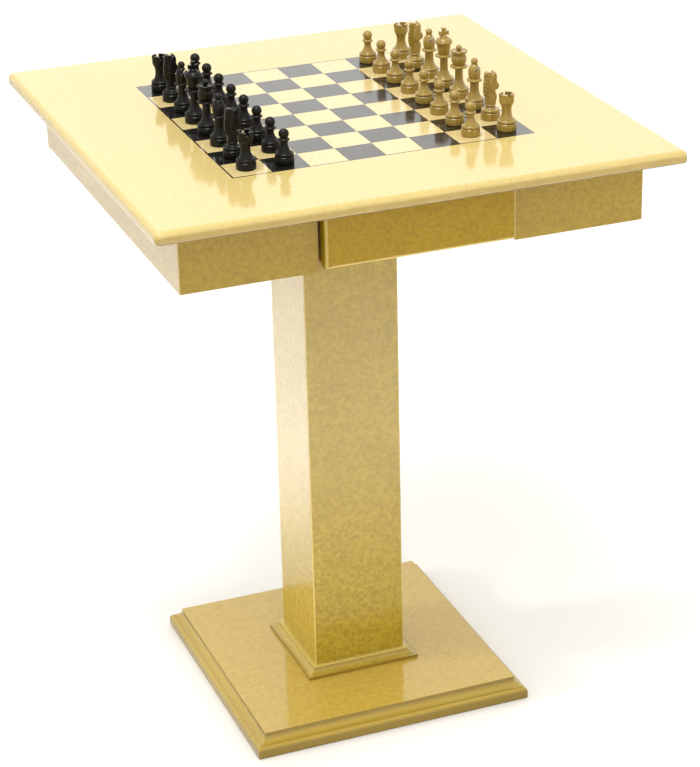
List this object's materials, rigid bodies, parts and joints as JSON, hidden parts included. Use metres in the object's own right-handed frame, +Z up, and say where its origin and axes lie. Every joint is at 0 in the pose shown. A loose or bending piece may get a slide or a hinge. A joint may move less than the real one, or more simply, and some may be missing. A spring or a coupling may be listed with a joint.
{
  "type": "chess table",
  "caption": "Square pedestal chess table with an inlaid board, a drawer in the apron, a stepped base, and turned chessmen that lift off their squares.",
  "frame": {"origin": "middle of the base's underside, on the floor", "axes": "+Z up, the drawer opens towards -Y, the black men stand on the -X side and the light men on +X"},
  "size_m": [0.62, 0.62, 0.823],
  "materials": {
    "lacquered_board": "fibreboard under clear high-gloss lacquer",
    "light_inlay": "pale veneer under clear high-gloss lacquer",
    "dark_inlay": "black veneer under clear high-gloss lacquer",
    "stringing": "dark stringing under clear high-gloss lacquer",
    "drawer_board": "fibreboard, sealed, satin",
    "hardboard": "hardboard, plain",
    "softwood": "planed softwood, plain",
    "screw_steel": "zinc plated",
    "black_men": "turned wood, black gloss lacquer",
    "light_men": "turned boxwood colour, satin lacquer"
  },
  "bodies": {
    "table": {"table_top": "lacquered_board", "apron_front_left": "lacquered_board", "apron_front_right": "lacquered_board", "apron_side_left": "lacquered_board", "apron_side_right": "lacquered_board", "apron_back": "lacquered_board", "column_front": "lacquered_board", "column_back": "lacquered_board", "column_left": "lacquered_board", "column_right": "lacquered_board", "foot_moulding": "lacquered_board", "base_board": "lacquered_board", "base_plinth": "lacquered_board", "light_squares": "light_inlay", "dark_squares": "dark_inlay", "board_stringing": "stringing", "apron_corner_blocks": "softwood", "drawer_runner_left": "softwood", "drawer_runner_right": "softwood", "column_cleats": "softwood", "column_foot_block": "softwood", "cleat_screws": "screw_steel", "base_screws": "screw_steel"},
    "drawer": {"drawer_front": "lacquered_board", "drawer_side_left": "drawer_board", "drawer_side_right": "drawer_board", "drawer_back": "drawer_board", "drawer_bottom": "hardboard"},
    "black_bishop_far": {"black_bishop_far": "black_men"},
    "black_bishop_near": {"black_bishop_near": "black_men"},
    "black_king": {"black_king": "black_men"},
    "black_knight_far": {"black_knight_far": "black_men"},
    "black_knight_near": {"black_knight_near": "black_men"},
    "black_pawn_1": {"black_pawn_1": "black_men"},
    "black_pawn_2": {"black_pawn_2": "black_men"},
    "black_pawn_3": {"black_pawn_3": "black_men"},
    "black_pawn_4": {"black_pawn_4": "black_men"},
    "black_pawn_5": {"black_pawn_5": "black_men"},
    "black_pawn_6": {"black_pawn_6": "black_men"},
    "black_pawn_7": {"black_pawn_7": "black_men"},
    "black_pawn_8": {"black_pawn_8": "black_men"},
    "black_queen": {"black_queen": "black_men"},
    "black_rook_far": {"black_rook_far": "black_men"},
    "black_rook_near": {"black_rook_near": "black_men"},
    "light_bishop_far": {"light_bishop_far": "light_men"},
    "light_bishop_near": {"light_bishop_near": "light_men"},
    "light_king": {"light_king": "light_men"},
    "light_knight_far": {"light_knight_far": "light_men"},
    "light_knight_near": {"light_knight_near": "light_men"},
    "light_pawn_1": {"light_pawn_1": "light_men"},
    "light_pawn_2": {"light_pawn_2": "light_men"},
    "light_pawn_3": {"light_pawn_3": "light_men"},
    "light_pawn_4": {"light_pawn_4": "light_men"},
    "light_pawn_5": {"light_pawn_5": "light_men"},
    "light_pawn_6": {"light_pawn_6": "light_men"},
    "light_pawn_7": {"light_pawn_7": "light_men"},
    "light_pawn_8": {"light_pawn_8": "light_men"},
    "light_queen": {"light_queen": "light_men"},
    "light_rook_far": {"light_rook_far": "light_men"},
    "light_rook_near": {"light_rook_near": "light_men"}
  },
  "joints": [
    {"name": "drawer_slide", "type": "slide", "parent": "table", "child": "drawer", "axis": [0, -1, 0], "range_m": [0, 0.14]},
    {"name": "lift_black_bishop_far", "type": "slide", "parent": "table", "child": "black_bishop_far", "axis": [0, 0, 1], "range_m": [0, 0.12]},
    {"name": "lift_black_bishop_near", "type": "slide", "parent": "table", "child": "black_bishop_near", "axis": [0, 0, 1], "range_m": [0, 0.12]},
    {"name": "lift_black_king", "type": "slide", "parent": "table", "child": "black_king", "axis": [0, 0, 1], "range_m": [0, 0.12]},
    {"name": "lift_black_knight_far", "type": "slide", "parent": "table", "child": "black_knight_far", "axis": [0, 0, 1], "range_m": [0, 0.12]},
    {"name": "lift_black_knight_near", "type": "slide", "parent": "table", "child": "black_knight_near", "axis": [0, 0, 1], "range_m": [0, 0.12]},
    {"name": "lift_black_pawn_1", "type": "slide", "parent": "table", "child": "black_pawn_1", "axis": [0, 0, 1], "range_m": [0, 0.12]},
    {"name": "lift_black_pawn_2", "type": "slide", "parent": "table", "child": "black_pawn_2", "axis": [0, 0, 1], "range_m": [0, 0.12]},
    {"name": "lift_black_pawn_3", "type": "slide", "parent": "table", "child": "black_pawn_3", "axis": [0, 0, 1], "range_m": [0, 0.12]},
    {"name": "lift_black_pawn_4", "type": "slide", "parent": "table", "child": "black_pawn_4", "axis": [0, 0, 1], "range_m": [0, 0.12]},
    {"name": "lift_black_pawn_5", "type": "slide", "parent": "table", "child": "black_pawn_5", "axis": [0, 0, 1], "range_m": [0, 0.12]},
    {"name": "lift_black_pawn_6", "type": "slide", "parent": "table", "child": "black_pawn_6", "axis": [0, 0, 1], "range_m": [0, 0.12]},
    {"name": "lift_black_pawn_7", "type": "slide", "parent": "table", "child": "black_pawn_7", "axis": [0, 0, 1], "range_m": [0, 0.12]},
    {"name": "lift_black_pawn_8", "type": "slide", "parent": "table", "child": "black_pawn_8", "axis": [0, 0, 1], "range_m": [0, 0.12]},
    {"name": "lift_black_queen", "type": "slide", "parent": "table", "child": "black_queen", "axis": [0, 0, 1], "range_m": [0, 0.12]},
    {"name": "lift_black_rook_far", "type": "slide", "parent": "table", "child": "black_rook_far", "axis": [0, 0, 1], "range_m": [0, 0.12]},
    {"name": "lift_black_rook_near", "type": "slide", "parent": "table", "child": "black_rook_near", "axis": [0, 0, 1], "range_m": [0, 0.12]},
    {"name": "lift_light_bishop_far", "type": "slide", "parent": "table", "child": "light_bishop_far", "axis": [0, 0, 1], "range_m": [0, 0.12]},
    {"name": "lift_light_bishop_near", "type": "slide", "parent": "table", "child": "light_bishop_near", "axis": [0, 0, 1], "range_m": [0, 0.12]},
    {"name": "lift_light_king", "type": "slide", "parent": "table", "child": "light_king", "axis": [0, 0, 1], "range_m": [0, 0.12]},
    {"name": "lift_light_knight_far", "type": "slide", "parent": "table", "child": "light_knight_far", "axis": [0, 0, 1], "range_m": [0, 0.12]},
    {"name": "lift_light_knight_near", "type": "slide", "parent": "table", "child": "light_knight_near", "axis": [0, 0, 1], "range_m": [0, 0.12]},
    {"name": "lift_light_pawn_1", "type": "slide", "parent": "table", "child": "light_pawn_1", "axis": [0, 0, 1], "range_m": [0, 0.12]},
    {"name": "lift_light_pawn_2", "type": "slide", "parent": "table", "child": "light_pawn_2", "axis": [0, 0, 1], "range_m": [0, 0.12]},
    {"name": "lift_light_pawn_3", "type": "slide", "parent": "table", "child": "light_pawn_3", "axis": [0, 0, 1], "range_m": [0, 0.12]},
    {"name": "lift_light_pawn_4", "type": "slide", "parent": "table", "child": "light_pawn_4", "axis": [0, 0, 1], "range_m": [0, 0.12]},
    {"name": "lift_light_pawn_5", "type": "slide", "parent": "table", "child": "light_pawn_5", "axis": [0, 0, 1], "range_m": [0, 0.12]},
    {"name": "lift_light_pawn_6", "type": "slide", "parent": "table", "child": "light_pawn_6", "axis": [0, 0, 1], "range_m": [0, 0.12]},
    {"name": "lift_light_pawn_7", "type": "slide", "parent": "table", "child": "light_pawn_7", "axis": [0, 0, 1], "range_m": [0, 0.12]},
    {"name": "lift_light_pawn_8", "type": "slide", "parent": "table", "child": "light_pawn_8", "axis": [0, 0, 1], "range_m": [0, 0.12]},
    {"name": "lift_light_queen", "type": "slide", "parent": "table", "child": "light_queen", "axis": [0, 0, 1], "range_m": [0, 0.12]},
    {"name": "lift_light_rook_far", "type": "slide", "parent": "table", "child": "light_rook_far", "axis": [0, 0, 1], "range_m": [0, 0.12]},
    {"name": "lift_light_rook_near", "type": "slide", "parent": "table", "child": "light_rook_near", "axis": [0, 0, 1], "range_m": [0, 0.12]}
  ]
}
